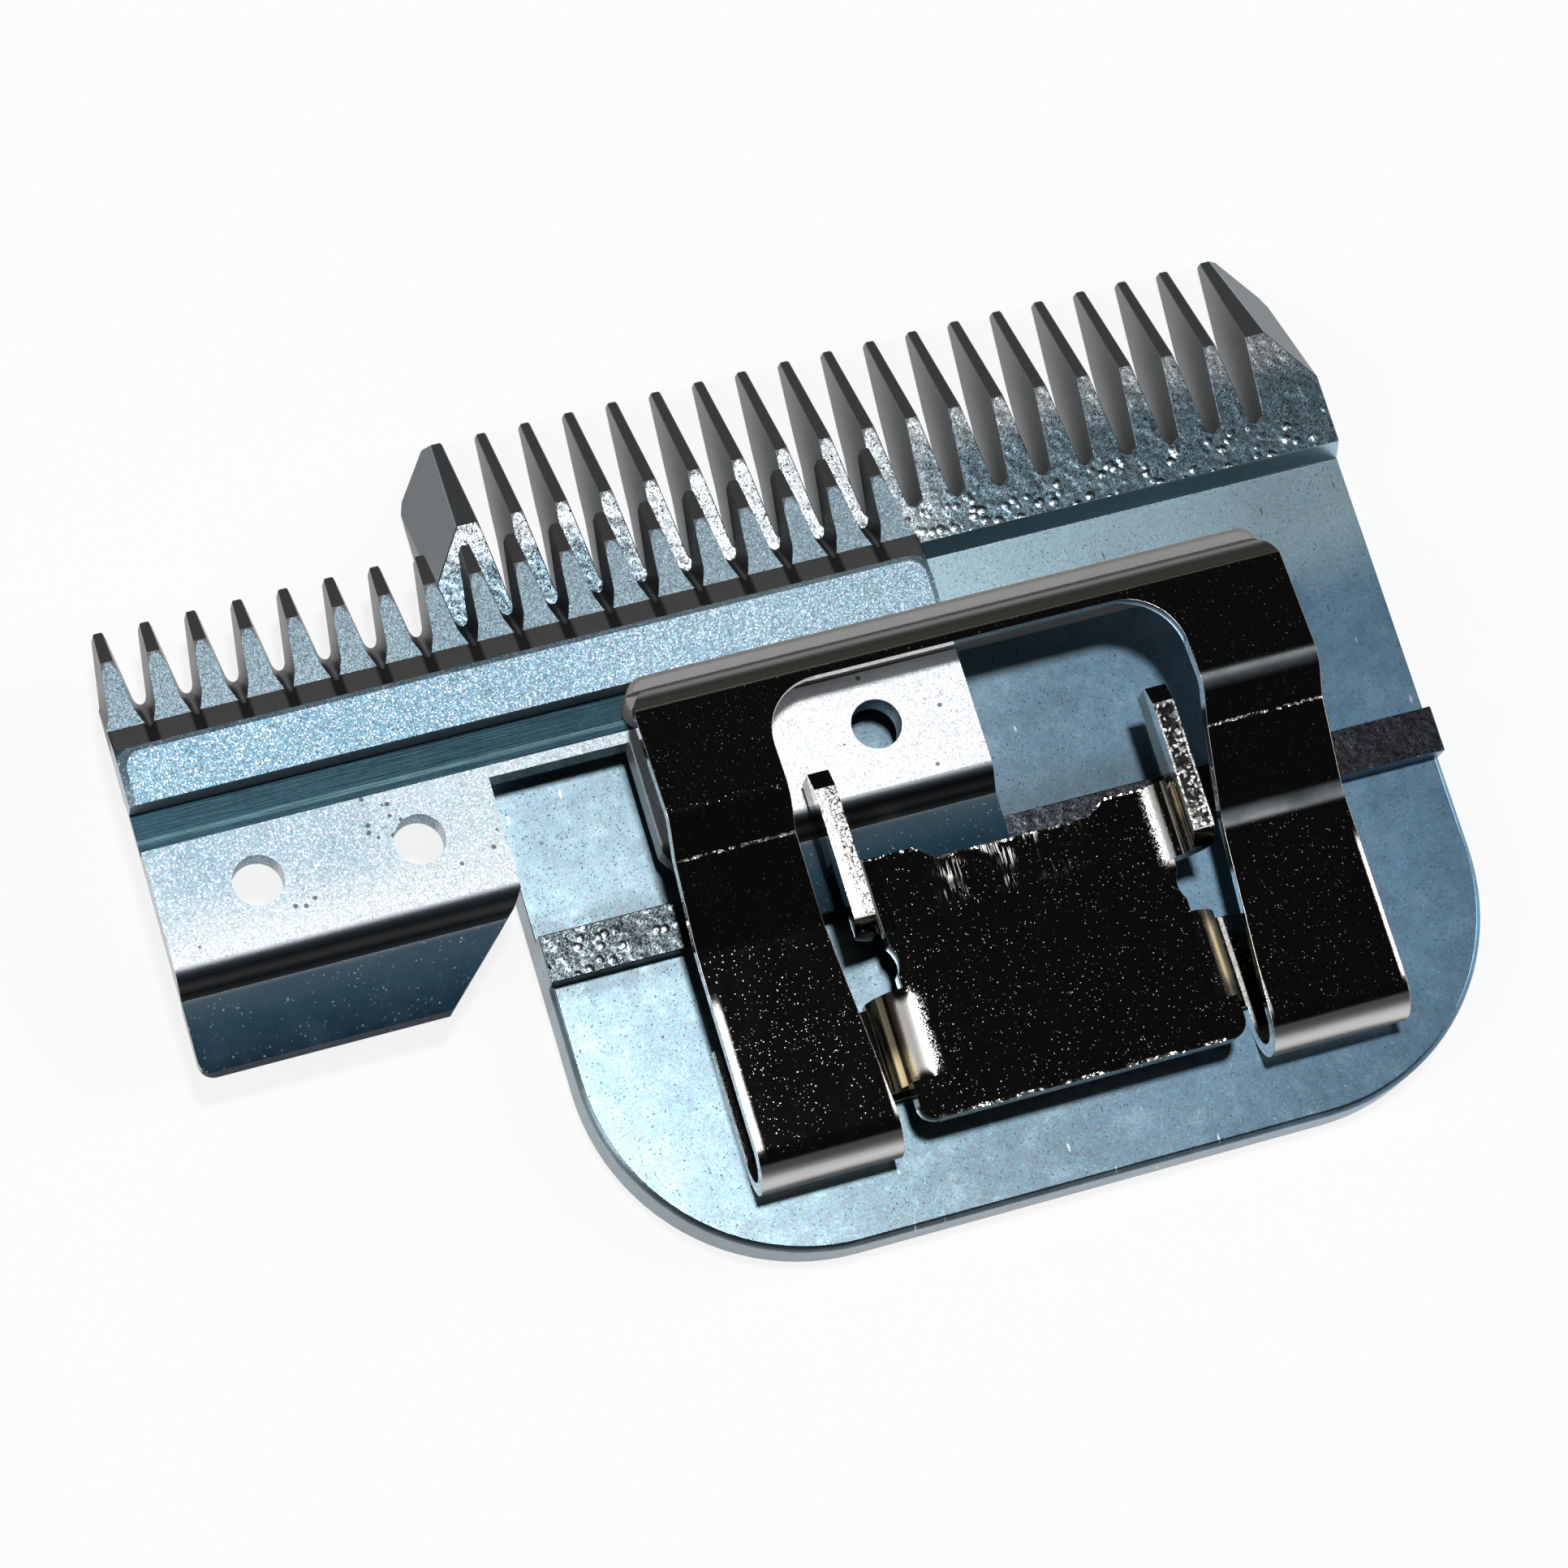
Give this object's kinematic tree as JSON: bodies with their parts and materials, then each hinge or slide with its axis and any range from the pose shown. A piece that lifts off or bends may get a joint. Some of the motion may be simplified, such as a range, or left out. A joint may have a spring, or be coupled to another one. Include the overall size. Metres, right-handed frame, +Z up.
{
  "type": "hair clipper blade",
  "caption": "Detachable hair clipper blade set: toothed comb plate, sliding toothed cutter, bent tension spring with its guide, and a hinge socket screwed on from below.",
  "frame": {"origin": "on the flat sole of the comb, under the middle of its tooth line in X, at the front of the socket in Y", "axes": "+X along the tooth line, +Y toward the teeth, +Z up, away from the sole"},
  "size_m": [0.0659, 0.0461, 0.01],
  "materials": {
    "comb_steel": "satin zinc-grey steel with a lapped, grainy tooth face",
    "cutter_steel": "satin steel with ground tooth flanks",
    "spring_nickel": "bright nickel plate with fine specks",
    "guide_plastic": "grey plastic",
    "socket_nickel": "bright nickel plate with rough sheared edges",
    "screw_steel": "plain steel"
  },
  "bodies": {
    "blade": {"comb": "comb_steel", "tension_spring": "spring_nickel", "spring_guide": "guide_plastic", "socket": "socket_nickel", "screws": "screw_steel"},
    "moving_blade": {"cutter": "cutter_steel"}
  },
  "joints": [
    {"name": "cutter_slide", "type": "slide", "parent": "blade", "child": "moving_blade", "axis": [1, 0, 0], "range_m": [0, 0.0416]}
  ]
}
